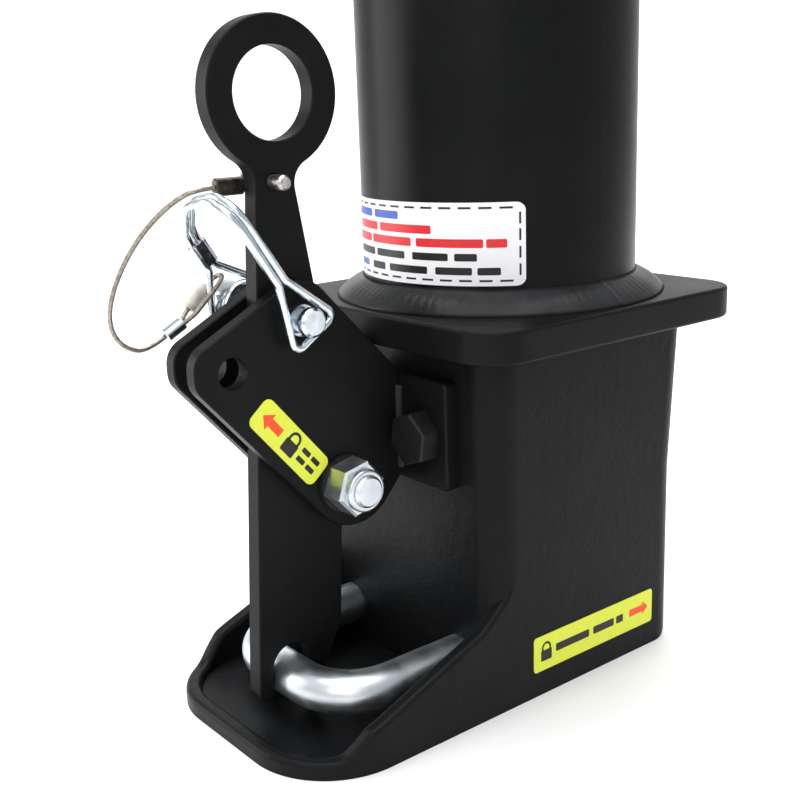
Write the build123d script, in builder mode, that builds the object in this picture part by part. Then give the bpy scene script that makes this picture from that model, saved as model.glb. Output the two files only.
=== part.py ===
from build123d import *
from math import acos, cos, hypot, radians, sin, sqrt, tan
import os

# Gooseneck coupler for a fifth wheel trailer: a stem on a flange, a cast socket for a 2-5/16 in ball,
# a U-shaped latch bar that slides under the ball, and the swinging handle that moves it.
# Millimetres. The origin is the seated ball's centre, +Z is up the stem, -Y is the latch side.

# ball socket
seat_r = 29.9
seat_top = 3.0
seat_bottom = -9.0
throat_r = 31.2
mouth_r = 42.0
mouth_depth = 10.5

# cast body
base_z = -34.5
body_half_w = 57.5
body_front = -58.5
body_rear = 51.5
body_corner_r = 12.0
flare_start = 45.0
flare = 5.0
rear_foot_r = 14.0

# front guard, cast in one with the body and parted from it at the body's front face
guard_front = -148.0
guard_corner_r = 36.0
guard_wall = 6.5
guard_floor = 3.3
guard_lip_z = -27.8
guard_height = 74.0
guard_edge_r = 2.2

# flange, stem and welds
flange_under = 110.3
flange_t = 12.7
flange_w = 145.7
flange_corner_r = 18.0
flange_edge_r = 1.5
stem_r = 57.15
stem_wall = 6.0
stem_length = 200.0
stem_weld_h = 9.0
stem_weld_w = 12.4
body_weld_leg = 4.0

# latch bar
bar_r = 8.5
bar_bore_r = 8.6
bar_half_w = 35.5
bar_z = -16.0
bar_bend_r = 24.0
bar_tip_y = 46.0
bar_tip_chamfer = 1.5
lock_hole_r = 4.2
lock_hole_back = 12.0

# handle, drawn upright from its pivot and leaning back by its tilt
pivot_y = -93.5
pivot_z = 60.0
tilt = 3.8
swing = 27.5
handle_t = 8.0
handle_front = -34.9
handle_bottom = -84.7
handle_rear = 4.0
hub_r = 17.0
ring_centre = (-27.2, 145.2)
ring_r = 27.0
ring_hole_r = 16.5
neck_fillet_r = 9.0
fork_x = -19.55
fork_half_w = 9.1
fork_top = -73.0

# pivot bolt, 1/2 in
bolt_r = 6.35
running = 0.05
hex_flat_r = 9.525
bolt_head_h = 7.9
washer_r = 11.4
washer_t = 1.6
nut_h = 10.5
nut_collar_r = 8.4
nut_collar_h = 3.0
bolt_end = 27.0

# ear plates and their base
ear_t = 6.0
ear_gap = 0.3
base_half_w = 38.0
base_t = 6.3
base_bottom = 55.5
base_top = 98.5
base_bolt_x = 23.5
base_bolt_z = 75.3
base_bolt_depth = 25.0
ear_weld_leg = 2.0
plate_edge = 0.5

# safety pin, parked in the rear hole of the ears
pin_reach = 68.7
pin_angle = 14.2
pin_hole_r = 6.0
pin_r = 5.9
pin_groove_r = 4.2
pin_tip_r = 5.4
pin_head_r = 11.0
pin_head_x = (-36.5, -23.5)
pin_groove_x = (13.4, 17.6)
pin_tip_x = 21.0
notch_r = 6.5

# spring wire bail on the pin
bail_lean = 33.0
wire_r = 1.5
wire_half_gap = 1.6
bail_near_x = 15.8
bail_crown = 56.4
bail_shoulder = (-14.0, 51.0)
bail_far_reach = 36.5
loop_apex = 18.0
loop_foot = -6.5
loop_half_w = 11.0
leg_x = -30.0
leg_half_w = 15.0
leg_top = 20.5
sleeve_span = (22.0, 31.5)

# lanyard
cable_r = 0.95
anchor_y = -113.6
anchor_z = 176.0
anchor_r = 2.75
anchor_x = (-14.0, 12.0)
crimp_x = -11.0
crimp_y = (-129.0, -117.2)
crimp_z = 174.6
eye_r = 3.8
ferrule_r = 2.4
ferrule_length = 9.0
loop_wire_r = 0.95
loop_near_x = -27.0
loop_far_x = -34.3
loop_ends = 1.3
loop_hook = (15.2, 1.0)
loop_sleeve_r = 2.4
loop_sleeve_span = (6.5, 17.5)

# printed labels
label_t = 0.3
lock_label = (40.0, 12.8)
lock_label_centre = (-117.4, 81.3)
lock_label_turn = -49.8
side_label = (73.0, 15.3)
side_label_centre = (-1.5, -16.0)
stem_label_h = 31.5
stem_label_z = 133.0
stem_label_arc = 114.0

flange_top = flange_under + flange_t
ear_x = handle_t / 2 + ear_gap
ear_face = ear_x + ear_t
base_face = body_front - base_t
handle_plane = Plane(
    origin=(0, pivot_y, pivot_z),
    x_dir=(0, cos(radians(tilt)), -sin(radians(tilt))),
    z_dir=(1, 0, 0),
)
os.makedirs("parts", exist_ok=True)


def around_pivot(angle):
    """Y and Z of the pin hole at an angle forward of upright."""
    return (pivot_y - pin_reach * sin(radians(angle)), pivot_z + pin_reach * cos(radians(angle)))


def bar_front_at(turn):
    """Y of the bar's front run when the handle has turned, from the fork's slot."""
    lean = radians(turn - tilt)
    return pivot_y + fork_x / cos(lean) - (bar_z - pivot_z) * tan(lean)


def corner_radii(points, share=0.45):
    """The largest sound arc at each inner point of a cord's route."""
    found = []
    for before, here, after in zip(points, points[1:], points[2:]):
        back = Vector(*before) - Vector(*here)
        ahead = Vector(*after) - Vector(*here)
        turn = radians(180 - back.get_angle(ahead))
        found.append(share * min(back.length, ahead.length) / tan(turn / 2))
    return found


park_y, park_z = around_pivot(pin_angle)
lock_y, lock_z = around_pivot(pin_angle + swing)
bar_front = bar_front_at(0)
bar_travel = bar_front_at(swing) - bar_front

# --- stem, flange and welds ---

with BuildPart() as stem_tube:
    with BuildSketch(Plane.XY.offset(flange_top)):
        Circle(stem_r)
        Circle(stem_r - stem_wall, mode=Mode.SUBTRACT)
    extrude(amount=stem_length)
    chamfer(stem_tube.faces().sort_by(Axis.Z)[-1].edges(), 1.0)
stem_tube.part.label = "stem_tube"
export_step(stem_tube.part, "parts/stem_tube.step")

with BuildPart() as flange_plate:
    with BuildSketch(Plane.XY.offset(flange_under)):
        RectangleRounded(flange_w, flange_w, flange_corner_r)
    extrude(amount=flange_t)
    fillet(flange_plate.faces().sort_by(Axis.Z)[-1].edges(), flange_edge_r)
    fillet(flange_plate.faces().sort_by(Axis.Z)[0].edges(), flange_edge_r)
flange_plate.part.label = "flange_plate"
export_step(flange_plate.part, "parts/flange_plate.step")

with BuildPart() as stem_weld:
    with BuildSketch(Plane.XZ):
        with BuildLine():
            foot = (stem_r + stem_weld_w, flange_top)
            head = (stem_r, flange_top + stem_weld_h)
            Polyline(foot, (stem_r, flange_top), head)
            SagittaArc(head, foot, -1.2)
        make_face()
    revolve(axis=Axis.Z)
stem_weld.part.label = "stem_weld"
export_step(stem_weld.part, "parts/stem_weld.step")

# --- cast body with its front guard ---

body_length = body_rear - body_front
body_mid = (body_rear + body_front) / 2
top_length = body_length + flare
top_mid = body_mid + flare / 2

with BuildPart() as guard_tray:
    guard_length = body_mid - guard_front
    with BuildSketch(Plane.XY.offset(base_z)):
        with Locations((0, guard_front + guard_length / 2)):
            outline = Rectangle(2 * body_half_w, guard_length)
        fillet(outline.vertices().group_by(Axis.Y)[0], guard_corner_r)
    extrude(amount=guard_height)
    # the rim runs down from the body's sides to the low front lip
    with BuildSketch(Plane.YZ):
        with BuildLine():
            FilletPolyline(
                (-39, 60),
                (-44, 32),
                (-52, 14),
                (-64, 3.5),
                (-119, -18),
                (-129.5, guard_lip_z),
                (guard_front - 10, guard_lip_z),
                (guard_front - 10, 60),
                radius=[16, 14, 14, 8, 8, 0],
            )
            Line((guard_front - 10, 60), (-39, 60))
        make_face()
    extrude(amount=body_half_w + 5, both=True, mode=Mode.SUBTRACT)
    with BuildSketch(Plane.XY.offset(base_z + guard_floor)):
        inner_front = guard_front + guard_wall
        with Locations((0, (inner_front + body_mid) / 2)):
            pocket = Rectangle(2 * (body_half_w - guard_wall), body_mid - inner_front)
        fillet(pocket.vertices().group_by(Axis.Y)[0], guard_corner_r - guard_wall)
    extrude(amount=80, mode=Mode.SUBTRACT)
    # the rim is rounded inside and out, as cast
    guard_top = base_z + guard_height
    rim = [
        face
        for face in guard_tray.faces()
        if face.normal_at().Z > 0.1 and base_z + guard_floor + 1 < face.center().Z < guard_top - 0.1
    ]
    rim_edges = [edge for face in rim for edge in face.edges() if edge.center().Z < guard_top - 0.1]
    fillet([edge for edge in rim_edges if sum(edge.is_same(other) for other in rim_edges) == 1], guard_edge_r)
front_plane = Plane.XZ.offset(-body_front)

with BuildPart() as front_guard:
    add(guard_tray.part)
    split(bisect_by=front_plane, keep=Keep.TOP)
front_guard.part.label = "front_guard"
export_step(front_guard.part, "parts/front_guard.step")

with BuildPart() as coupler_body:
    add(guard_tray.part)
    split(bisect_by=front_plane, keep=Keep.BOTTOM)
    # the block under the flange, flared to the rear at its top
    with BuildSketch(Plane.XY.offset(base_z)):
        with Locations((0, body_mid)):
            RectangleRounded(2 * body_half_w, body_length, body_corner_r)
    extrude(amount=flare_start - base_z)
    with BuildSketch(Plane.XY.offset(flare_start)):
        with Locations((0, body_mid)):
            RectangleRounded(2 * body_half_w, body_length, body_corner_r)
    with BuildSketch(Plane.XY.offset(flange_under)):
        with Locations((0, top_mid)):
            RectangleRounded(2 * body_half_w, top_length, body_corner_r)
    loft()
    # rounded rear foot
    with BuildSketch(Plane.YZ):
        with Locations((body_rear, base_z)):
            Rectangle(2 * rear_foot_r, 2 * rear_foot_r)
        with Locations((body_rear - rear_foot_r, base_z + rear_foot_r)):
            Circle(rear_foot_r, mode=Mode.SUBTRACT)
            Rectangle(2 * rear_foot_r, 2 * rear_foot_r, align=(Align.MAX, Align.CENTER), mode=Mode.SUBTRACT)
            Rectangle(2 * rear_foot_r, 2 * rear_foot_r, align=(Align.CENTER, Align.MIN), mode=Mode.SUBTRACT)
    extrude(amount=body_half_w + 5, both=True, mode=Mode.SUBTRACT)
    # socket: domed seat, clearance throat and flared mouth
    with BuildSketch(Plane.XZ):
        with BuildLine():
            Line((0, base_z - 1), (0, seat_top + seat_r))
            RadiusArc((0, seat_top + seat_r), (seat_r, seat_top), seat_r)
            Polyline(
                (seat_r, seat_top),
                (seat_r, seat_bottom),
                (throat_r, seat_bottom),
                (throat_r, base_z + mouth_depth),
                (mouth_r, base_z),
                (mouth_r, base_z - 1),
                (0, base_z - 1),
            )
        make_face()
    revolve(axis=Axis.Z, mode=Mode.SUBTRACT)
    # guides for the two legs of the latch bar
    with BuildSketch(Plane.XZ.offset(-body_rear - 5)):
        with Locations((-bar_half_w, bar_z), (bar_half_w, bar_z)):
            Circle(bar_bore_r)
    extrude(amount=body_length + 10, mode=Mode.SUBTRACT)
    # tapped holes behind the ear base
    with BuildSketch(Plane.XZ.offset(-body_front)):
        with Locations((-base_bolt_x, base_bolt_z), (base_bolt_x, base_bolt_z)):
            Circle(bolt_r + running)
    extrude(amount=-base_bolt_depth, mode=Mode.SUBTRACT)
coupler_body.part.label = "coupler_body"
export_step(coupler_body.part, "parts/coupler_body.step")

with BuildPart() as body_weld:
    with BuildSketch(Plane.XY.offset(flange_under)):
        with Locations((0, top_mid)):
            RectangleRounded(
                2 * (body_half_w + body_weld_leg),
                top_length + 2 * body_weld_leg,
                body_corner_r + body_weld_leg,
            )
    extrude(amount=-body_weld_leg, taper=45)
    add(coupler_body.part, mode=Mode.SUBTRACT)
body_weld.part.label = "body_weld"
export_step(body_weld.part, "parts/body_weld.step")

# --- latch bar ---

with BuildPart() as latch_bar:
    with BuildLine() as bar_line:
        FilletPolyline(
            (-bar_half_w, bar_tip_y, bar_z),
            (-bar_half_w, bar_front, bar_z),
            (bar_half_w, bar_front, bar_z),
            (bar_half_w, bar_tip_y, bar_z),
            radius=bar_bend_r,
        )
    with BuildSketch(Plane(origin=(-bar_half_w, bar_tip_y, bar_z), z_dir=(0, -1, 0))):
        Circle(bar_r)
    sweep(path=bar_line.wires()[0])
    chamfer(latch_bar.faces().filter_by(Axis.Y).edges(), bar_tip_chamfer)
    # scallops that let the ball pass while the latch is open
    with BuildSketch(Plane.XY.offset(bar_z)):
        Circle(throat_r)
    extrude(amount=2 * bar_r, both=True, mode=Mode.SUBTRACT)
    # cross holes for an optional manual lock
    with BuildSketch(Plane.YZ):
        with Locations((bar_tip_y - lock_hole_back, bar_z)):
            Circle(lock_hole_r)
    extrude(amount=2 * bar_half_w, both=True, mode=Mode.SUBTRACT)
latch_bar.part.label = "latch_bar"
export_step(latch_bar.part, "parts/latch_bar.step")

# --- ear plates on their base ---

with BuildPart() as bracket_base:
    with BuildSketch(Plane.XZ.offset(-body_front)):
        with Locations((0, (base_bottom + base_top) / 2)):
            RectangleRounded(2 * base_half_w, base_top - base_bottom, 2.0)
        with Locations((-base_bolt_x, base_bolt_z), (base_bolt_x, base_bolt_z)):
            Circle(bolt_r + 0.3, mode=Mode.SUBTRACT)
    extrude(amount=base_t)
    chamfer(bracket_base.faces().sort_by(Axis.Y)[0].outer_wire().edges(), 0.8)
bracket_base.part.label = "bracket_base"
export_step(bracket_base.part, "parts/bracket_base.step")

with BuildPart() as base_bolts:
    with BuildSketch(Plane.XZ.offset(-base_face)):
        with Locations((-base_bolt_x, base_bolt_z), (base_bolt_x, base_bolt_z)):
            RegularPolygon(hex_flat_r, 6, major_radius=False, rotation=20)
    extrude(amount=bolt_head_h)
    chamfer(base_bolts.faces().filter_by(Axis.Y).sort_by(Axis.Y)[:2].edges(), 0.8)
    with BuildSketch(Plane.XZ.offset(-base_face)):
        with Locations((-base_bolt_x, base_bolt_z), (base_bolt_x, base_bolt_z)):
            Circle(bolt_r)
    extrude(amount=-(base_t + base_bolt_depth - 1))
base_bolts.part.label = "base_bolts"
export_step(base_bolts.part, "parts/base_bolts.step")


def ear_plate(inner_x, amount):
    """One ear, from its inner face outwards."""
    with BuildPart() as ear:
        with BuildSketch(Plane.YZ.offset(inner_x)):
            with BuildLine():
                FilletPolyline(
                    (base_face, 99.7),
                    (base_face, 56.8),
                    (-87.9, 31.2),
                    (-154.5, 107.4),
                    (-154.5, 119.4),
                    (-106.0, 144.1),
                    radius=[3, 6, 20, 9, 9, 14],
                    close=True,
                )
            make_face()
            with Locations((pivot_y, pivot_z)):
                Circle(bolt_r + running, mode=Mode.SUBTRACT)
            with Locations((park_y, park_z), (lock_y, lock_z)):
                Circle(pin_hole_r, mode=Mode.SUBTRACT)
        extrude(amount=amount)
        chamfer([edge for face in ear.faces().filter_by(Axis.X) for edge in face.outer_wire().edges()], plate_edge)
    return ear


for ear_name, side in (("left_ear_plate", 1), ("right_ear_plate", -1)):
    ear = ear_plate(side * ear_x, side * ear_t)
    ear.part.label = ear_name
    export_step(ear.part, f"parts/{ear_name}.step")

with BuildPart() as ear_welds:
    with BuildSketch(Plane.XY.offset(60)):
        for side in (1, -1):
            corner = (side * ear_face, base_face)
            across = (side * (ear_face + ear_weld_leg), base_face)
            along = (side * ear_face, base_face - ear_weld_leg)
            with BuildLine():
                Polyline(corner, across, along, close=True)
            make_face()
    extrude(amount=34)
ear_welds.part.label = "ear_welds"
export_step(ear_welds.part, "parts/ear_welds.step")

# --- pivot bolt, washers and lock nut ---

head_face = -ear_face - washer_t
nut_face = ear_face + washer_t

with BuildPart() as pivot_bolt:
    with BuildSketch(Plane.YZ.offset(head_face - bolt_head_h)):
        with Locations((pivot_y, pivot_z)):
            RegularPolygon(hex_flat_r, 6, major_radius=False)
    extrude(amount=bolt_head_h)
    chamfer(pivot_bolt.faces().sort_by(Axis.X)[0].edges(), 0.8)
    with BuildSketch(Plane.YZ.offset(head_face)):
        with Locations((pivot_y, pivot_z)):
            Circle(bolt_r)
    extrude(amount=bolt_end - head_face)
    chamfer(pivot_bolt.faces().sort_by(Axis.X)[-1].edges(), 1.0)
pivot_bolt.part.label = "pivot_bolt"
export_step(pivot_bolt.part, "parts/pivot_bolt.step")

with BuildPart() as pivot_washers:
    for washer_x in (head_face, ear_face):
        with BuildSketch(Plane.YZ.offset(washer_x)):
            with Locations((pivot_y, pivot_z)):
                Circle(washer_r)
                Circle(bolt_r + running, mode=Mode.SUBTRACT)
        extrude(amount=washer_t)
pivot_washers.part.label = "pivot_washers"
export_step(pivot_washers.part, "parts/pivot_washers.step")

with BuildPart() as pivot_nut:
    with BuildSketch(Plane.YZ.offset(nut_face)):
        with Locations((pivot_y, pivot_z)):
            RegularPolygon(hex_flat_r, 6, major_radius=False, rotation=12)
    extrude(amount=nut_h)
    chamfer(pivot_nut.faces().sort_by(Axis.X)[-1].edges(), 0.9)
    with BuildSketch(Plane.YZ.offset(nut_face + nut_h)):
        with Locations((pivot_y, pivot_z)):
            Circle(nut_collar_r)
    extrude(amount=nut_collar_h)
    fillet(pivot_nut.faces().sort_by(Axis.X)[-1].edges(), 1.2)
    with BuildSketch(Plane.YZ.offset(nut_face)):
        with Locations((pivot_y, pivot_z)):
            Circle(bolt_r + running)
    extrude(amount=nut_h + nut_collar_h, mode=Mode.SUBTRACT)
pivot_nut.part.label = "pivot_nut"
export_step(pivot_nut.part, "parts/pivot_nut.step")

# --- handle ---

with BuildPart() as latch_handle:
    with BuildSketch(handle_plane) as handle_face:
        with BuildLine():
            Polyline(
                (handle_front, handle_bottom),
                (handle_front, 125),
                (-21.1, 125),
                (handle_rear, 20),
                (handle_rear, -60),
                (-6.5, handle_bottom),
                close=True,
            )
        make_face()
        front_toe = handle_face.vertices().sort_by_distance((handle_front, handle_bottom))[0]
        fillet(front_toe, 3.0)
        Circle(hub_r)
        with Locations(ring_centre):
            Circle(ring_r)
        neck_drop = sqrt(ring_r**2 - (handle_front - ring_centre[0]) ** 2)
        for neck_x in (handle_front, -19.9):
            near = (neck_x, ring_centre[1] - neck_drop)
            fillet(handle_face.vertices().sort_by_distance(near)[0], neck_fillet_r)
        with Locations(ring_centre):
            Circle(ring_hole_r, mode=Mode.SUBTRACT)
        Circle(bolt_r + running, mode=Mode.SUBTRACT)
        # anchor hole in the neck
        anchor_local = handle_plane.to_local_coords(Vector(0, anchor_y, anchor_z))
        with Locations((anchor_local.X, anchor_local.Y)):
            Circle(anchor_r + running, mode=Mode.SUBTRACT)
        # fork that straddles the latch bar
        with Locations((fork_x, fork_top)):
            Circle(fork_half_w, mode=Mode.SUBTRACT)
            Rectangle(2 * fork_half_w, 20, align=(Align.CENTER, Align.MAX), mode=Mode.SUBTRACT)
        # notch that takes the safety pin and is open to the rear
        notch_end = 90 + pin_angle + tilt
        with BuildLine():
            CenterArc((0, 0), pin_reach, notch_end - 32, 32)
            offset(amount=notch_r)
        make_face(mode=Mode.SUBTRACT)
    extrude(amount=handle_t / 2, both=True)
    chamfer([edge for face in latch_handle.faces().filter_by(Axis.X) for edge in face.edges()], plate_edge)
latch_handle.part.label = "latch_handle"
export_step(latch_handle.part, "parts/latch_handle.step")

# --- safety pin with its spring wire bail ---

with BuildPart() as safety_pin:
    head_start, head_end = pin_head_x
    groove_start, groove_end = pin_groove_x
    with BuildSketch(Plane.YZ.offset(head_start)):
        with Locations((park_y, park_z)):
            Circle(pin_head_r)
    extrude(amount=head_end - head_start)
    fillet(safety_pin.edges().filter_by(GeomType.CIRCLE), 1.8)
    for start, end, radius in (
        (head_end, groove_start, pin_r),
        (groove_start, groove_end, pin_groove_r),
        (groove_end, pin_tip_x, pin_tip_r),
    ):
        with BuildSketch(Plane.YZ.offset(start)):
            with Locations((park_y, park_z)):
                Circle(radius)
        extrude(amount=end - start)
    chamfer(safety_pin.faces().sort_by(Axis.X)[-1].edges(), 1.0)
    across = Plane(
        origin=(leg_x, park_y, park_z),
        x_dir=(1, 0, 0),
        z_dir=(0, cos(radians(bail_lean)), sin(radians(bail_lean))),
    )
    with BuildSketch(across):
        Circle(wire_r + running)
    extrude(amount=2 * pin_head_r, both=True, mode=Mode.SUBTRACT)
safety_pin.part.label = "safety_pin"
export_step(safety_pin.part, "parts/safety_pin.step")

bail_plane = Plane(
    origin=(0, park_y, park_z),
    x_dir=(1, 0, 0),
    z_dir=(0, -cos(radians(bail_lean)), -sin(radians(bail_lean))),
)


def bail_point(x, reach, side):
    """A point on the bail: along the pin, out from the pin, and to one side."""
    return bail_plane.from_local_coords(Vector(x, reach, -side))


half_bail = [
    ((leg_x, 0, 6.0), None),
    ((leg_x, 0, leg_half_w), 2.3),
    ((leg_x, leg_top, wire_half_gap), 4.0),
    ((leg_x, bail_far_reach, wire_half_gap), 12.0),
    ((*bail_shoulder, wire_half_gap), 20.0),
    ((bail_near_x, bail_crown, wire_half_gap), 12.0),
    ((bail_near_x, loop_apex, wire_half_gap), 4.0),
    ((bail_near_x, loop_foot, loop_half_w), 3.0),
]
bail_route = half_bail + [((x, reach, -side), r) for (x, reach, side), r in reversed(half_bail)]

with BuildPart() as bail_wire:
    with BuildLine() as bail_line:
        FilletPolyline(
            *[bail_point(*place) for place, _ in bail_route],
            radius=[r for _, r in bail_route if r],
        )
    with BuildSketch(Plane(origin=bail_line.line @ 0, z_dir=bail_line.line % 0)):
        Circle(wire_r)
    sweep(path=bail_line.wires()[0])
bail_wire.part.label = "bail_wire"
export_step(bail_wire.part, "parts/bail_wire.step")

sleeve_start, sleeve_end = sleeve_span
with BuildPart() as bail_sleeve:
    sleeve_foot = Plane(
        origin=bail_point(leg_x, sleeve_start, 0),
        x_dir=(0, cos(radians(bail_lean)), sin(radians(bail_lean))),
        z_dir=(0, -sin(radians(bail_lean)), cos(radians(bail_lean))),
    )
    with BuildSketch(sleeve_foot):
        SlotOverall(2 * (wire_half_gap + wire_r + 0.9), 2 * (wire_r + 0.9))
        with Locations((-wire_half_gap, 0), (wire_half_gap, 0)):
            Circle(wire_r + running, mode=Mode.SUBTRACT)
    extrude(amount=sleeve_end - sleeve_start)
bail_sleeve.part.label = "bail_sleeve"
export_step(bail_sleeve.part, "parts/bail_sleeve.step")

# --- lanyard ---

anchor_start, anchor_end = anchor_x
with BuildPart() as lanyard_anchor:
    with BuildSketch(Plane.YZ.offset(anchor_start)):
        with Locations((anchor_y, anchor_z)):
            Circle(anchor_r)
    extrude(amount=anchor_end - anchor_start)
    chamfer(lanyard_anchor.faces().sort_by(Axis.X)[-1].edges(), 0.7)
lanyard_anchor.part.label = "lanyard_anchor"
export_step(lanyard_anchor.part, "parts/lanyard_anchor.step")

with BuildPart() as lanyard_eye:
    with BuildSketch(Plane.XY.offset(anchor_z)):
        with Locations((crimp_x, anchor_y + eye_r)):
            Circle(cable_r)
    revolve(axis=Axis((crimp_x, anchor_y, anchor_z), (1, 0, 0)), revolution_arc=360)
lanyard_eye.part.label = "lanyard_eye"
export_step(lanyard_eye.part, "parts/lanyard_eye.step")

crimp_start, crimp_end = crimp_y
with BuildPart() as lanyard_crimp:
    with BuildSketch(Plane.XZ.offset(-crimp_end)):
        with Locations((crimp_x, crimp_z)):
            SlotOverall(6.6, 4.4, rotation=90)
    extrude(amount=crimp_end - crimp_start)
    chamfer(lanyard_crimp.faces().filter_by(Axis.Y).edges(), 0.5)
    add(lanyard_eye.part, mode=Mode.SUBTRACT)
lanyard_crimp.part.label = "lanyard_crimp"
export_step(lanyard_crimp.part, "parts/lanyard_crimp.step")

cable_route = [
    (crimp_x, crimp_start, crimp_z),
    (crimp_x, -133.0, crimp_z),
    (-14.2, -139.8, 172.8),
    (-19.0, -147.7, 166.4),
    (-23.5, -155.8, 156.4),
    (-27.0, -162.2, 144.3),
    (-29.5, -165.4, 132.9),
    (-31.0, -164.3, 123.7),
    (-31.2, -159.0, 117.3),
    (-31.0, -151.2, 115.3),
    (-31.0, -143.4, 119.5),
]
cable_radii = corner_radii(cable_route)
with BuildPart() as lanyard_cable:
    with BuildLine() as cable_line:
        FilletPolyline(*cable_route, radius=cable_radii)
    with BuildSketch(Plane(origin=cable_line.line @ 0, z_dir=cable_line.line % 0)):
        Circle(cable_r)
    sweep(path=cable_line.wires()[0])
lanyard_cable.part.label = "lanyard_cable"
export_step(lanyard_cable.part, "parts/lanyard_cable.step")

ferrule_end = Vector(*cable_route[-1])
ferrule_dir = (ferrule_end - Vector(*cable_route[-2])).normalized()
with BuildPart() as lanyard_ferrule:
    with BuildSketch(Plane(origin=ferrule_end, x_dir=(1, 0, 0), z_dir=ferrule_dir)):
        SlotOverall(6.4, 2 * ferrule_r)
    extrude(amount=ferrule_length)
    chamfer(lanyard_ferrule.faces().group_by(SortBy.AREA)[0].edges(), 0.4)
lanyard_ferrule.part.label = "lanyard_ferrule"
export_step(lanyard_ferrule.part, "parts/lanyard_ferrule.step")

loop_start = ferrule_end + ferrule_dir * ferrule_length
loop_end = bail_point(0, *loop_hook)
loop_run = Vector(0, loop_end.Y - loop_start.Y, loop_end.Z - loop_start.Z)
loop_dir = loop_run.normalized()
loop_plane = Plane(origin=loop_start, x_dir=loop_dir, z_dir=Vector(1, 0, 0).cross(loop_dir))
loop_near = loop_start.X - loop_near_x
loop_far = loop_start.X - loop_far_x
loop_length = loop_run.length
with BuildPart() as lanyard_loop:
    with BuildLine(loop_plane) as loop_line:
        FilletPolyline(
            (0, loop_ends),
            (5.0, loop_far),
            (loop_length, loop_far),
            (loop_length, loop_near),
            (5.0, loop_near),
            (0, -loop_ends),
            radius=[4, 3.2, 3.2, 4],
        )
    with BuildSketch(Plane(origin=loop_line.line @ 0, z_dir=loop_line.line % 0)):
        Circle(loop_wire_r)
    sweep(path=loop_line.wires()[0])
    add(lanyard_ferrule.part, mode=Mode.SUBTRACT)
lanyard_loop.part.label = "lanyard_loop"
export_step(lanyard_loop.part, "parts/lanyard_loop.step")

tube_start, tube_end = loop_sleeve_span
with BuildPart() as loop_sleeve:
    strand = loop_plane.from_local_coords(Vector(tube_start, loop_far, 0))
    with BuildSketch(Plane(origin=strand, z_dir=loop_dir)):
        Circle(loop_sleeve_r)
        Circle(loop_wire_r + running, mode=Mode.SUBTRACT)
    extrude(amount=tube_end - tube_start)
loop_sleeve.part.label = "loop_sleeve"
export_step(loop_sleeve.part, "parts/loop_sleeve.step")

# --- labels ---

with BuildPart() as lock_label_plate:
    with BuildSketch(Plane.YZ.offset(ear_face)):
        with Locations(Location((*lock_label_centre, 0), lock_label_turn)):
            RectangleRounded(*lock_label, 3.0)
    extrude(amount=label_t)
lock_label_plate.part.label = "lock_label"
export_step(lock_label_plate.part, "parts/lock_label.step")

with BuildPart() as side_label_plate:
    with BuildSketch(Plane.YZ.offset(body_half_w)):
        with Locations(side_label_centre):
            RectangleRounded(*side_label, 1.5)
    extrude(amount=label_t)
side_label_plate.part.label = "side_label"
export_step(side_label_plate.part, "parts/side_label.step")

with BuildPart() as stem_label_plate:
    with BuildSketch(Plane.XZ):
        with Locations((stem_r, stem_label_z)):
            Rectangle(label_t, stem_label_h, align=Align.MIN)
    revolve(axis=Axis.Z, revolution_arc=stem_label_arc)
stem_label = stem_label_plate.part.rotate(Axis.Z, -90 - stem_label_arc / 2)
stem_label.label = "stem_label"
export_step(stem_label, "parts/stem_label.step")

print("pin parked", round(park_y, 3), round(park_z, 3), "locked", round(lock_y, 3), round(lock_z, 3))
print("bar front", round(bar_front, 3), "travel", round(bar_travel, 3), "per radian", bar_travel / radians(swing))
print("cable radii", [round(r, 1) for r in cable_radii], "length", round(cable_line.wires()[0].length, 1))
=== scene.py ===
import math
import random

import bmesh
import bpy
from mathutils import Matrix, Vector


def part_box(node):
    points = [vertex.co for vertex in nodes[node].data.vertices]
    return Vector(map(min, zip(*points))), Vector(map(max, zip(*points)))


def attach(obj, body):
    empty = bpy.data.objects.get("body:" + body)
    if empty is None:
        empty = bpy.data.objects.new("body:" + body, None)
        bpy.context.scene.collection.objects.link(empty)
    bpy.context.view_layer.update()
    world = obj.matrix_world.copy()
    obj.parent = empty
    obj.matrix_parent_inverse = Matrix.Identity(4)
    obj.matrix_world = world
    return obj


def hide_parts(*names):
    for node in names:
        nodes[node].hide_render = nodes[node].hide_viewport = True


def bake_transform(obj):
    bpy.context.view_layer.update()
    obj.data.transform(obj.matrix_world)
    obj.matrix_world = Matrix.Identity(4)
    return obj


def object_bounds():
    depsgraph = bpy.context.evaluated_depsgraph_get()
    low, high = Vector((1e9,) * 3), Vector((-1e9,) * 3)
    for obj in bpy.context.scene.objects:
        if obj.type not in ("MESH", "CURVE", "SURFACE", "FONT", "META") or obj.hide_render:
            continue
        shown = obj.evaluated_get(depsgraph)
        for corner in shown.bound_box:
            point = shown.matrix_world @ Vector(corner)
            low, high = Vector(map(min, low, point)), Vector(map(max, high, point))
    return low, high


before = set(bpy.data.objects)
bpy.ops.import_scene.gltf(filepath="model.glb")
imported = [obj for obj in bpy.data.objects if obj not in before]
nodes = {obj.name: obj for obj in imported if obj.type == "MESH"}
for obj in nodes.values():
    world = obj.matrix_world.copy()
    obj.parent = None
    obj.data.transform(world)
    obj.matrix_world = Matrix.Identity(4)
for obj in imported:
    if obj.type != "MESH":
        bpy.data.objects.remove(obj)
cad_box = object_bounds()
random.seed(4)

MM = 0.001

# --- camera ---

AZIMUTH = math.radians(51.482)
ELEVATION = math.radians(14.807)
ROLL = math.radians(-2.037)
CAMERA_PLACE = (0.36006, -0.34283, 0.20557)
LENS_MM = 52.48
SENSOR_MM = 36.0
NEAREST_SEEN = 0.02

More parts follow.
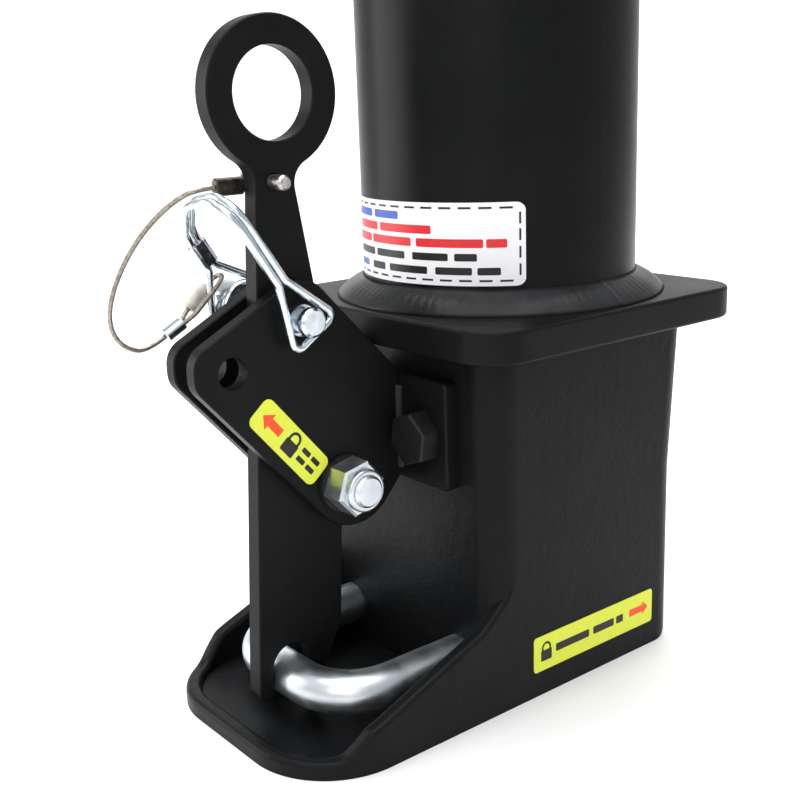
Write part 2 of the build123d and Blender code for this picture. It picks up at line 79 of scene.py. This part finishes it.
back = Vector(
    (
        math.sin(AZIMUTH) * math.cos(ELEVATION),
        -math.cos(AZIMUTH) * math.cos(ELEVATION),
        math.sin(ELEVATION),
    )
)
level_right = Vector((math.cos(AZIMUTH), math.sin(AZIMUTH), 0))
level_up = back.cross(level_right)
cam_right = level_right * math.cos(ROLL) + level_up * math.sin(ROLL)
cam_up = level_up * math.cos(ROLL) - level_right * math.sin(ROLL)

camera = bpy.data.objects.new("camera", bpy.data.cameras.new("camera"))
camera.data.lens = LENS_MM
camera.data.sensor_width = SENSOR_MM
camera.data.clip_start = NEAREST_SEEN
camera.matrix_world = Matrix.Translation(CAMERA_PLACE) @ Matrix(
    (cam_right, cam_up, back)
).transposed().to_4x4()
bpy.context.scene.collection.objects.link(camera)
bpy.context.scene.camera = camera
bpy.context.scene.view_settings.view_transform = "Standard"


# --- node helpers ---


class Shader:
    """A material's node tree, built one call at a time."""

    def __init__(self, name, color, roughness, metallic=0.0, **sockets):
        self.material = bpy.data.materials.new(name)
        self.material.use_nodes = True
        self.tree = self.material.node_tree
        self.shader = self.tree.nodes["Principled BSDF"]
        self.set(self.shader, **{"Base Color": (*color, 1), "Roughness": roughness, "Metallic": metallic})
        self.set(self.shader, **sockets)
        self.place = self.tree.nodes.new("ShaderNodeTexCoord").outputs["Object"]

    def set(self, node, **sockets):
        for name, value in sockets.items():
            node.inputs[name].default_value = value

    def link(self, source, node, socket):
        self.tree.links.new(source, node.inputs[socket])

    def noise(self, scale, detail=3.0, roughness=0.55):
        """Noise with features about 1/scale metres across."""
        node = self.tree.nodes.new("ShaderNodeTexNoise")
        self.set(node, Scale=scale, Detail=detail, Roughness=roughness)
        self.link(self.place, node, "Vector")
        return node.outputs["Fac"]

    def spread(self, source, low, high, out_low=0.0, out_high=1.0):
        node = self.tree.nodes.new("ShaderNodeMapRange")
        node.interpolation_type = "SMOOTHSTEP"
        limits = {"From Min": low, "From Max": high, "To Min": out_low, "To Max": out_high}
        self.set(node, **limits)
        self.link(source, node, "Value")
        return node.outputs["Result"]

    def ramp(self, source, *stops):
        node = self.tree.nodes.new("ShaderNodeValToRGB")
        elements = node.color_ramp.elements
        while len(elements) < len(stops):
            elements.new(0.5)
        for element, (position, color) in zip(elements, stops):
            element.position = position
            element.color = (*color, 1)
        self.link(source, node, "Fac")
        return node.outputs["Color"]

    def math(self, operation, a, b):
        node = self.tree.nodes.new("ShaderNodeMath")
        node.operation = operation
        for socket, value in enumerate((a, b)):
            if isinstance(value, (int, float)):
                node.inputs[socket].default_value = value
            else:
                self.link(value, node, socket)
        return node.outputs["Value"]

    def color(self, source):
        self.link(source, self.shader, "Base Color")

    def roughness(self, source):
        self.link(source, self.shader, "Roughness")

    def bump(self, height, distance, strength=1.0, under=None):
        node = self.tree.nodes.new("ShaderNodeBump")
        self.set(node, Strength=strength, Distance=distance)
        self.link(height, node, "Height")
        if under:
            self.link(under, node, "Normal")
        self.link(node.outputs["Normal"], self.shader, "Normal")
        return node.outputs["Normal"]


# --- materials ---


def powder_coat(name, dark, light, roughness, grain, depth, lumps=0.0):
    """Satin black powder coat: fine orange peel, depth mm deep, over the metal's own lumps."""
    coat = Shader(name, dark, roughness, **{"Specular IOR Level": 0.10})
    patches = coat.noise(38, 4)
    coat.color(coat.ramp(patches, (0.3, dark), (0.75, light)))
    speckle = coat.noise(2600, 2)
    smear = coat.noise(30, 2)
    coat.roughness(
        coat.math(
            "ADD",
            coat.spread(smear, 0.3, 0.7, roughness - 0.02, roughness + 0.02),
            coat.spread(speckle, 0.35, 0.65, -0.03, 0.03),
        )
    )
    rough = coat.bump(coat.noise(grain, 3, 0.6), depth * MM)
    if lumps:
        coat.bump(coat.noise(190, 5, 0.6), lumps * MM, 1.0, rough)
    return coat.material


plate_paint = powder_coat(
    "plate_paint", (0.0045, 0.0048, 0.0050), (0.007, 0.0073, 0.0076), 0.42, 1500, 0.05
)
tube_paint = powder_coat(
    "tube_paint", (0.0045, 0.0048, 0.0051), (0.0068, 0.0072, 0.0076), 0.30, 1300, 0.03
)
cast_paint = powder_coat(
    "cast_paint", (0.0048, 0.0051, 0.0057), (0.0072, 0.0076, 0.0082), 0.40, 900, 0.10, 0.25
)
# painted sheen: the weld's lighter patch colour is raised well above the dark paint tone to stand in for
# gloss highlights on the bead
weld_paint = powder_coat(
    "weld_paint", (0.009, 0.0095, 0.010), (0.038, 0.039, 0.041), 0.31, 1400, 0.04, 0.1
)


def mottled(name, color, roughness, metallic, patches, gloss, grain=None, **sockets):
    """A surface with patches of colour, uneven gloss and a fine grain.

    patches: noise scale, detail, and the two colour stops
    gloss: noise scale, detail, and the lowest and highest roughness
    grain: noise scale, detail, and depth in millimetres
    """
    made = Shader(name, color, roughness, metallic, **sockets)
    scale, detail, *stops = patches
    made.color(made.ramp(made.noise(scale, detail), *stops))
    scale, detail, smooth, rough = gloss
    made.roughness(made.spread(made.noise(scale, detail), 0.3, 0.7, smooth, rough))
    if grain:
        scale, detail, depth = grain
        made.bump(made.noise(scale, detail), depth * MM)
    return made.material


zinc = mottled(
    "zinc", (0.62, 0.65, 0.69), 0.22, 1.0,
    (120, 4, (0.3, (0.55, 0.61, 0.66)), (0.7, (0.72, 0.77, 0.81))),
    (420, 5, 0.15, 0.28),
    (900, 3, 0.02),
)
bar_zinc = mottled(
    "bar_zinc", (0.60, 0.63, 0.67), 0.36, 1.0,
    (50, 3, (0.3, (0.56, 0.61, 0.64)), (0.7, (0.70, 0.74, 0.77))),
    (160, 4, 0.32, 0.42),
    (700, 4, 0.02),
)
pin_steel = mottled(
    "pin_steel", (0.62, 0.60, 0.55), 0.3, 1.0,
    (260, 5, (0.35, (0.34, 0.32, 0.28)), (0.6, (0.66, 0.64, 0.60))),
    (500, 4, 0.24, 0.45),
    (1200, 3, 0.03),
)
black_steel = mottled(
    "black_steel", (0.009, 0.009, 0.010), 0.44, 0.0,
    (240, 4, (0.3, (0.007, 0.007, 0.008)), (0.7, (0.013, 0.013, 0.014))),
    (300, 4, 0.38, 0.52),
    (1100, 3, 0.04),
    **{"Specular IOR Level": 0.2},
)
crimp_steel = mottled(
    "crimp_steel", (0.05, 0.043, 0.035), 0.38, 0.7,
    (400, 4, (0.3, (0.028, 0.023, 0.018)), (0.7, (0.10, 0.088, 0.07))),
    (600, 4, 0.3, 0.5),
    (1300, 3, 0.06),
)
rope_steel = mottled(
    "rope_steel", (0.3, 0.27, 0.24), 0.42, 0.75,
    (700, 3, (0.3, (0.20, 0.165, 0.14)), (0.7, (0.46, 0.41, 0.36))),
    (900, 3, 0.32, 0.5),
)
tube_plastic = mottled(
    "tube_plastic", (0.55, 0.51, 0.45), 0.45, 0.0,
    (350, 4, (0.3, (0.44, 0.40, 0.34)), (0.7, (0.62, 0.58, 0.52))),
    (900, 3, 0.36, 0.5),
    (500, 3, 0.05),
)


def print_film(name, color, shade):
    """Printed film with a faint unevenness in its ink and gloss."""
    patches = (700, 4, (0.25, shade), (0.75, color))
    return mottled(name, color, 0.35, 0.0, patches, (260, 4, 0.30, 0.42), **{"Specular IOR Level": 0.3})


yellow_film = print_film("yellow_film", (0.74, 0.80, 0.065), (0.69, 0.75, 0.055))
white_film = print_film("white_film", (0.84, 0.84, 0.86), (0.80, 0.80, 0.82))
black_ink = print_film("black_ink", (0.010, 0.010, 0.010), (0.014, 0.014, 0.014))
red_ink = print_film("red_ink", (0.72, 0.030, 0.035), (0.64, 0.025, 0.03))
orange_ink = print_film("orange_ink", (0.90, 0.085, 0.02), (0.84, 0.075, 0.017))
blue_ink = print_film("blue_ink", (0.045, 0.11, 0.50), (0.04, 0.095, 0.45))

finishes = {
    "stem_tube": tube_paint,
    "flange_plate": plate_paint,
    "coupler_body": cast_paint,
    "front_guard": cast_paint,
    "bracket_base": plate_paint,
    "base_bolts": black_steel,
    "left_ear_plate": plate_paint,
    "right_ear_plate": plate_paint,
    "latch_bar": bar_zinc,
    "pivot_bolt": bar_zinc,
    "pivot_washers": black_steel,
    "pivot_nut": bar_zinc,
    "latch_handle": plate_paint,
    "safety_pin": zinc,
    "bail_wire": zinc,
    "bail_sleeve": zinc,
    "lanyard_anchor": pin_steel,
    "lanyard_crimp": crimp_steel,
    "lanyard_ferrule": zinc,
    "loop_sleeve": tube_plastic,
    "lock_label": yellow_film,
    "side_label": yellow_film,
    "stem_label": white_film,
}
for name, material in finishes.items():
    slots = nodes[name].data.materials
    slots.clear()
    slots.append(material)


# --- wire rope ---

ROPE_R = 0.00095
ROPE_STRANDS = 6
ROPE_PITCH = 0.0075
# depth of the grooves between strands, as a share of the radius
ROPE_GROOVE = 0.20


def tube_along(name, points, radius, material, closed=False):
    """A stranded tube along points: its lobed section twists once in each ROPE_PITCH."""
    points = [Vector(p) for p in points]
    count = len(points)
    sides = 6 * ROPE_STRANDS
    tangents = []
    for i in range(count):
        if closed:
            ahead, behind = points[(i + 1) % count], points[i - 1]
        else:
            ahead, behind = points[min(i + 1, count - 1)], points[max(i - 1, 0)]
        tangents.append((ahead - behind).normalized())
    normal = tangents[0].orthogonal().normalized()
    run = 0.0
    rings = []
    bm = bmesh.new()
    for i, (point, tangent) in enumerate(zip(points, tangents)):
        if i:
            normal = tangents[i - 1].rotation_difference(tangent) @ normal
            run += (point - points[i - 1]).length
        binormal = tangent.cross(normal)
        turn = 2 * math.pi * run / ROPE_PITCH
        ring = []
        for side in range(sides):
            angle = 2 * math.pi * side / sides
            crown = abs(math.cos(ROPE_STRANDS * (angle - turn) / 2))
            reach = radius * (1 - ROPE_GROOVE + ROPE_GROOVE * math.sqrt(crown))
            offset = normal * math.cos(angle) + binormal * math.sin(angle)
            ring.append(bm.verts.new(point + offset * reach))
        rings.append(ring)
    pairs = list(zip(rings, rings[1:])) + ([(rings[-1], rings[0])] if closed else [])
    for ring, following in pairs:
        for side in range(sides):
            after = (side + 1) % sides
            bm.faces.new((ring[side], ring[after], following[after], following[side]))
    if not closed:
        bm.faces.new(reversed(rings[0]))
        bm.faces.new(rings[-1])
    mesh = bpy.data.meshes.new(name)
    bm.to_mesh(mesh)
    bm.free()
    for face in mesh.polygons:
        face.use_smooth = len(face.vertices) == 4
    mesh.materials.append(material)
    made = bpy.data.objects.new(name, mesh)
    bpy.context.scene.collection.objects.link(made)
    return made


def smooth_line(route, resolution):
    """Points along the NURBS line that the route controls."""
    curve = bpy.data.curves.new("route", "CURVE")
    curve.dimensions = "3D"
    curve.resolution_u = resolution
    spline = curve.splines.new("NURBS")
    spline.points.add(len(route) - 1)
    for point, place in zip(spline.points, route):
        point.co = (*place, 1)
    spline.order_u = 3
    spline.use_endpoint_u = True
    holder = bpy.data.objects.new("route", curve)
    bpy.context.scene.collection.objects.link(holder)
    mesh = bpy.data.meshes.new_from_object(holder)
    line = [vertex.co.copy() for vertex in mesh.vertices]
    bpy.data.objects.remove(holder)
    bpy.data.meshes.remove(mesh)
    bpy.data.curves.remove(curve)
    return line


def strand(name, line, node, body, closed=False):
    """A piece of wire rope along a line, in place of a CAD node."""
    made = tube_along(name, line, ROPE_R, rope_steel, closed)
    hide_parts(node)
    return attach(made, body) if body else made


cable_route = [
    (-0.0110, -0.1290, 0.1746),
    (-0.0110, -0.1330, 0.1746),
    (-0.0142, -0.1398, 0.1728),
    (-0.0190, -0.1477, 0.1664),
    (-0.0235, -0.1558, 0.1564),
    (-0.0270, -0.1622, 0.1443),
    (-0.0295, -0.1654, 0.1329),
    (-0.0310, -0.1643, 0.1237),
    (-0.0312, -0.1590, 0.1173),
    (-0.0310, -0.1512, 0.1153),
    (-0.0310, -0.1434, 0.1195),
]
cable_line = smooth_line(cable_route, 28)
cable = strand("wire_rope", cable_line, "lanyard_cable", None)
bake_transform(cable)

ANCHOR = Vector((-0.011, -0.1136, 0.176))
EYE_R = 0.0038
EYE_STEPS = 90
eye_angles = [2 * math.pi * k / EYE_STEPS for k in range(EYE_STEPS)]
eye_line = [ANCHOR + Vector((0, EYE_R * math.cos(a), EYE_R * math.sin(a))) for a in eye_angles]
strand("rope_eye", eye_line, "lanyard_eye", "handle", closed=True)

# the rope's end loop: out from the ferrule, round behind the bail's leg, and back
ferrule_dir = (Vector(cable_route[-1]) - Vector(cable_route[-2])).normalized()
FERRULE_LENGTH = 0.009
loop_start = Vector(cable_route[-1]) + ferrule_dir * FERRULE_LENGTH
LOOP_END = Vector((-0.031, -0.11779, 0.139896))
loop_run = LOOP_END - loop_start
loop_dir = loop_run.normalized()
loop_across = Vector((-1, 0, 0))
# how far its two legs stand off the line between its ends
FAR, NEAR = 0.0033, -0.0040
loop_length = loop_run.length
loop_route = [
    loop_start + loop_dir * along + loop_across * over
    for along, over in (
        (-0.003, 0.0012),
        (0.0005, 0.0013),
        (0.005, FAR),
        (0.0095, FAR),
        (loop_length, FAR),
        (loop_length, NEAR),
        (0.0095, NEAR),
        (0.005, NEAR),
        (0.0005, -0.0013),
        (-0.003, -0.0012),
    )
]
strand("rope_loop", smooth_line(loop_route, 16), "lanyard_loop", "tether")

# --- weld beads ---


def bead(name, node, stations, ripple, bulge, pitch, closed):
    """A weld bead with freeze ripples, riding on the frame body.

    stations: (point, one leg, other leg) along its corner
    ripple, bulge: how far its ripples and its crown stand out
    pitch: from one ripple to the next
    """
    steps = 8
    bm = bmesh.new()
    rings = []
    run = 0.0
    wander = [random.uniform(0, 2 * math.pi) for _ in range(3)]
    for index, (corner, leg_a, leg_b) in enumerate(stations):
        if index:
            run += (corner - stations[index - 1][0]).length
        out = (leg_a + leg_b).normalized()
        waves = [math.sin(run / length + phase) for length, phase in zip((0.009, 0.021, 0.004), wander)]
        wobble = sum(waves) / 3
        # the first point of each ring is in the corner, and the rest run over the bead's face
        ring = [bm.verts.new(corner + (leg_a + leg_b) * 0.02)]
        for k in range(steps + 1):
            share = k / steps
            arch = math.sin(math.pi * share)
            phase = 2 * math.pi * (run / pitch + 0.8 * arch + 0.25 * wobble)
            scale = abs(math.sin(phase / 2)) ** 0.7 - 0.5
            reach = 1 + 0.05 * wobble
            point = corner + leg_a * (1 - share) * reach + leg_b * share * reach
            ring.append(bm.verts.new(point + out * (bulge * arch + ripple * scale * (0.3 + arch))))
        rings.append(ring)
    pairs = list(zip(rings, rings[1:])) + ([(rings[-1], rings[0])] if closed else [])
    count = steps + 2
    for ring, following in pairs:
        for k in range(count):
            after = (k + 1) % count
            bm.faces.new((ring[k], ring[after], following[after], following[k]))
    if not closed:
        bm.faces.new(reversed(rings[0]))
        bm.faces.new(rings[-1])
    bmesh.ops.recalc_face_normals(bm, faces=bm.faces)
    mesh = bpy.data.meshes.new(name)
    bm.to_mesh(mesh)
    bm.free()
    for face in mesh.polygons:
        face.use_smooth = len(face.vertices) == 4
    mesh.materials.append(weld_paint)
    made = bpy.data.objects.new(name, mesh)
    bpy.context.scene.collection.objects.link(made)
    if node:
        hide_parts(node)
    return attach(made, "frame")


UP = Vector((0, 0, 1))
STEM_R = 0.05715
STEM_WELD_OUT, STEM_WELD_UP = 0.0122, 0.0088
STEM_WELD_STEPS = 1100
flange_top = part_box("flange_plate")[1].z
stations = []
for k in range(STEM_WELD_STEPS):
    angle = 2 * math.pi * k / STEM_WELD_STEPS
    out = Vector((math.cos(angle), math.sin(angle), 0))
    stations.append((out * STEM_R + UP * flange_top, out * STEM_WELD_OUT, UP * STEM_WELD_UP))
bead("stem_weld_bead", "stem_weld", stations, 0.0001, 0.0010, 0.0034, True)


def rounded_rectangle(half_w, half_l, radius, mid_y, z, step):
    """Points and outward directions round a rounded rectangle."""
    found = []
    for sx, sy, start in ((1, 1, 0.0), (-1, 1, 0.5), (-1, -1, 1.0), (1, -1, 1.5)):
        centre = Vector((sx * (half_w - radius), mid_y + sy * (half_l - radius), z))
        count = max(4, round(radius * math.pi / 2 / step))
        for k in range(count + 1):
            angle = (start + 0.5 * k / count) * math.pi
            out = Vector((math.cos(angle), math.sin(angle), 0))
            found.append((centre + out * radius, out))
    line = []
    for (here, out), (ahead, _) in zip(found, found[1:] + found[:1]):
        count = max(1, round((ahead - here).length / step))
        line += [(here.lerp(ahead, k / count), out) for k in range(count)]
    return line


body_low, body_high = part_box("body_weld")
weld_leg = 0.004
corner_line = rounded_rectangle(
    body_high.x - weld_leg,
    (body_high.y - body_low.y) / 2 - weld_leg,
    0.012,
    (body_high.y + body_low.y) / 2,
    body_high.z,
    0.0005,
)
stations = [(point - out * 0.0006, out * 0.0044, UP * -0.0042) for point, out in corner_line]
bead("body_weld_bead", "body_weld", stations, 0.00009, 0.0004, 0.0026, True)

ear_low, ear_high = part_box("ear_welds")
EAR_LEG = 0.002
EAR_WELD_STEPS = 90
for side, name in ((1, "left"), (-1, "right")):
    foot = Vector((side * (ear_high.x - EAR_LEG), ear_high.y, ear_low.z))
    legs = Vector((side * EAR_LEG, 0, 0)), Vector((0, -EAR_LEG, 0))
    stations = [
        (foot + UP * (ear_high.z - ear_low.z) * k / EAR_WELD_STEPS, *legs)
        for k in range(EAR_WELD_STEPS + 1)
    ]
    # one bead stands for the node, which holds both welds
    node = "ear_welds" if side == 1 else None
    bead(f"ear_weld_bead_{name}", node, stations, 0.00012, 0.0003, 0.0019, False)

# --- labels ---


class Ink:
    """Raised print on a label: ribbons of quads laid over its surface."""

    def __init__(self, name, place, material, lift=0.02):
        self.name, self.place, self.material, self.lift = name, place, material, lift
        self.bm = bmesh.new()

    def ribbon(self, pairs):
        """pairs are opposite points of the ribbon's two edges, in millimetres on the label."""
        rows = [
            [self.bm.verts.new(self.place(*point, height)) for point in pair for height in (0.0, self.lift)]
            for pair in pairs
        ]
        for (a0, a1, b0, b1), (c0, c1, d0, d1) in zip(rows, rows[1:]):
            for corners in ((a1, b1, d1, c1), (a0, c0, d0, b0), (a0, a1, c1, c0), (b0, d0, d1, b1)):
                self.bm.faces.new(corners)
        for a0, a1, b0, b1 in (rows[0], rows[-1]):
            self.bm.faces.new((a0, b0, b1, a1))

    def bar(self, s, t, width, height, corner=0.0, step=2.0):
        """A rounded bar with its centre at (s, t)."""
        half, tall = width / 2, height / 2
        corner = min(corner, half, tall)
        stations = []
        if corner:
            stations += [-half + corner * (1 - math.cos(math.pi / 2 * k / 5)) for k in range(1, 6)]
        else:
            stations.append(-half)
        inner = half - corner
        count = max(1, round(2 * inner / step))
        stations += [-inner + 2 * inner * k / count for k in range(1, count)]
        stations += [-station for station in reversed(stations[: 5 if corner else 1])]
        pairs = []
        for station in stations:
            over = max(0.0, abs(station) - inner)
            reach = tall - corner + math.sqrt(max(corner**2 - over**2, 0.0)) if corner else tall
            pairs.append(((s + station, t - reach), (s + station, t + reach)))
        self.ribbon(pairs)

    def arrow(self, tail, tip, t, head, head_half, shaft_half):
        way = 1 if tip > tail else -1
        neck = tip - way * head
        tip_half = 0.15
        for ends in (((tail, shaft_half), (neck, shaft_half)), ((neck, head_half), (tip, tip_half))):
            self.ribbon([((s, t - half), (s, t + half)) for s, half in ends])

    def padlock(self, s, t, size):
        """A plain padlock: a body with a shackle over it."""
        self.bar(s, t - 0.16 * size, 0.82 * size, 0.62 * size, 0.08 * size)
        inner, outer, foot = 0.22 * size, 0.35 * size, t + 0.12 * size
        centre = foot + 0.14 * size
        pairs = [((s + inner, foot), (s + outer, foot))]
        for angle in (math.pi * k / 12 for k in range(13)):
            across, up = math.cos(angle), math.sin(angle)
            pairs.append(tuple((s + reach * across, centre + reach * up) for reach in (inner, outer)))
        pairs.append(((s - inner, foot), (s - outer, foot)))
        self.ribbon(pairs)

    def finish(self):
        bmesh.ops.recalc_face_normals(self.bm, faces=self.bm.faces)
        mesh = bpy.data.meshes.new(self.name)
        self.bm.to_mesh(mesh)
        self.bm.free()
        mesh.materials.append(self.material)
        made = bpy.data.objects.new(self.name, mesh)
        bpy.context.scene.collection.objects.link(made)
        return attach(made, "frame")


def flat_label(node, centre, turn):
    """Places points in millimetres on a flat label that faces +X."""
    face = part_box(node)[1].x
    angle = math.radians(turn)
    along = Vector((0, math.cos(angle), math.sin(angle)))
    over = Vector((0, -math.sin(angle), math.cos(angle)))
    middle = Vector((face, centre[0] * MM, centre[1] * MM))
    return lambda s, t, lift: middle + along * s * MM + over * t * MM + Vector((lift * MM, 0, 0))


def wrapped_label(radius, low_z):
    """Places points in millimetres round the stem: along its skin from -Y, and up from low_z."""

    def place(s, t, lift):
        angle = s / radius - math.pi / 2
        out = (radius + lift) * MM
        return Vector((out * math.cos(angle), out * math.sin(angle), (low_z + t) * MM))

    return place


on_lock = flat_label("lock_label", (-117.4, 81.3), -49.8)
ink = Ink("lock_label_arrow", on_lock, orange_ink)
ink.arrow(-5.6, -16.6, 0.0, 4.2, 3.6, 1.7)
ink.finish()
ink = Ink("lock_label_print", on_lock, black_ink)
ink.padlock(1.0, -0.2, 8.6)
for s, width in ((8.6, 4.6), (14.4, 4.6)):
    ink.bar(s, 1.9, width, 2.0, 0.5)
    ink.bar(s, -1.9, width, 2.0, 0.5)
ink.finish()

on_side = flat_label("side_label", (-1.5, -16.0), 0.0)
ink = Ink("side_label_arrow", on_side, orange_ink)
ink.arrow(21.5, 33.5, 0.3, 3.4, 3.0, 1.6)
ink.finish()
ink = Ink("side_label_print", on_side, black_ink)
ink.padlock(-29.5, 0.0, 7.6)
for s, width in ((-14.0, 20.0), (5.0, 13.0), (15.2, 4.5)):
    ink.bar(s, 0.0, width, 3.4, 0.6)
ink.finish()

# the stem's label, in millimetres
stem_mm = STEM_R / MM
film_mm = 0.3
label_low, label_tall, label_half = 133.0, 31.5, stem_mm * math.radians(57.0)
on_stem = wrapped_label(stem_mm, label_low)
film = Ink("stem_label_film", on_stem, white_film, lift=film_mm)
film.bar(0.0, label_tall / 2, 2 * label_half, label_tall, 3.6, step=1.2)
film = film.finish()
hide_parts("stem_label")
on_film = wrapped_label(stem_mm + film_mm, label_low)
ink = Ink("stem_label_border", on_film, black_ink)
edge = label_half - 2.0
dash, gap = 5.0, 2.9
for row in (2.0, label_tall - 2.0):
    count = int((2 * edge - 4) // (dash + gap))
    for k in range(count):
        ink.bar(edge - 5.2 - k * (dash + gap), row, dash, 0.8, 0.0)
for side in (edge, -edge):
    for t in (6.2, 12.8, 19.4, 25.6):
        ink.bar(side, t, 0.8, 4.4, 0.0)
ink.finish()
# each row: its height on the label, how tall its bars are, and each bar's place and width
prints = {
    "stem_label_blue": (
        blue_ink,
        [
            (26.2, 3.1, [(-40, 14), (-23, 17), (-4, 16)]),
            (5.6, 2.6, [(-42, 15), (-26, 12)]),
        ],
    ),
    "stem_label_red": (
        red_ink,
        [
            (21.2, 3.3, [(-40, 16), (-20, 20), (6, 28)]),
            (16.2, 3.3, [(-42, 12), (-25, 18), (-2, 25), (27, 28), (46, 8)]),
        ],
    ),
    "stem_label_black": (
        black_ink,
        [
            (10.9, 2.9, [(-40, 14), (-22, 18), (-2, 18), (19, 16), (34, 9)]),
            (5.6, 2.9, [(-10, 10), (8, 20), (29, 15), (43, 9)]),
        ],
    ),
}
for name, (material, rows) in prints.items():
    ink = Ink(name, on_film, material)
    for t, height, words in rows:
        for s, width in words:
            ink.bar(s, t, width, height, 0.7)
    ink.finish()

# --- floor and light ---

floor_z = cad_box[0].z
# half the sheet's width, and the radius of its bend up into the backdrop
size, bend = 5.0, 1.6
BEND_STEPS = 24
floor = bpy.data.objects.new("floor", bpy.data.meshes.new("floor"))
profile = [(-size, 0.0), (size - bend, 0.0)]
profile += [
    (size - bend + bend * math.sin(a), bend - bend * math.cos(a))
    for a in (math.pi / 2 * k / BEND_STEPS for k in range(1, BEND_STEPS + 1))
]
profile.append((size, size))
away = Vector((-back.x, -back.y, 0)).normalized()
across = Vector((-away.y, away.x, 0))
bm = bmesh.new()
rows = [
    [bm.verts.new(away * along + across * side + UP * (floor_z + height)) for side in (-size, size)]
    for along, height in profile
]
for row, following in zip(rows, rows[1:]):
    bm.faces.new((row[0], row[1], following[1], following[0]))
bmesh.ops.recalc_face_normals(bm, faces=bm.faces)
bm.to_mesh(floor.data)
bm.free()
for face in floor.data.polygons:
    face.use_smooth = True
bpy.context.scene.collection.objects.link(floor)
paper = Shader("paper", (0.86, 0.86, 0.86), 0.9)
paper.color(paper.ramp(paper.noise(3, 3), (0.3, (0.88, 0.88, 0.88)), (0.7, (0.91, 0.91, 0.91))))
floor.data.materials.append(paper.material)


def softbox(name, place, target, width, height, power):
    light = bpy.data.lights.new(name, "AREA")
    light.shape = "RECTANGLE"
    light.size = width
    light.size_y = height
    light.energy = power
    made = bpy.data.objects.new(name, light)
    made.location = place
    made.rotation_mode = "QUATERNION"
    made.rotation_quaternion = (Vector(target) - Vector(place)).to_track_quat("-Z", "Y")
    bpy.context.scene.collection.objects.link(made)


middle = (0.0, -0.03, 0.13)
softbox("left", (-1.05, -0.95, 0.28), middle, 0.9, 1.2, 12)
softbox("overhead", (0.1, -0.2, 1.4), middle, 1.2, 1.2, 17)
softbox("front", (0.75, -1.1, 0.8), middle, 0.8, 0.8, 5)
softbox("background", (-0.7, 0.6, 1.8), (-1.0, 0.8, 0.0), 1.4, 1.4, 34)
softbox("backdrop", away * 2.8 + UP * 2.0, away * size + UP * 0.8, 4.0, 1.0, 70)

world = bpy.data.worlds.new("studio")
world.use_nodes = True
world.node_tree.nodes["Background"].inputs["Color"].default_value = (0.98, 0.99, 1.0, 1)
world.node_tree.nodes["Background"].inputs["Strength"].default_value = 0.62
bpy.context.scene.world = world
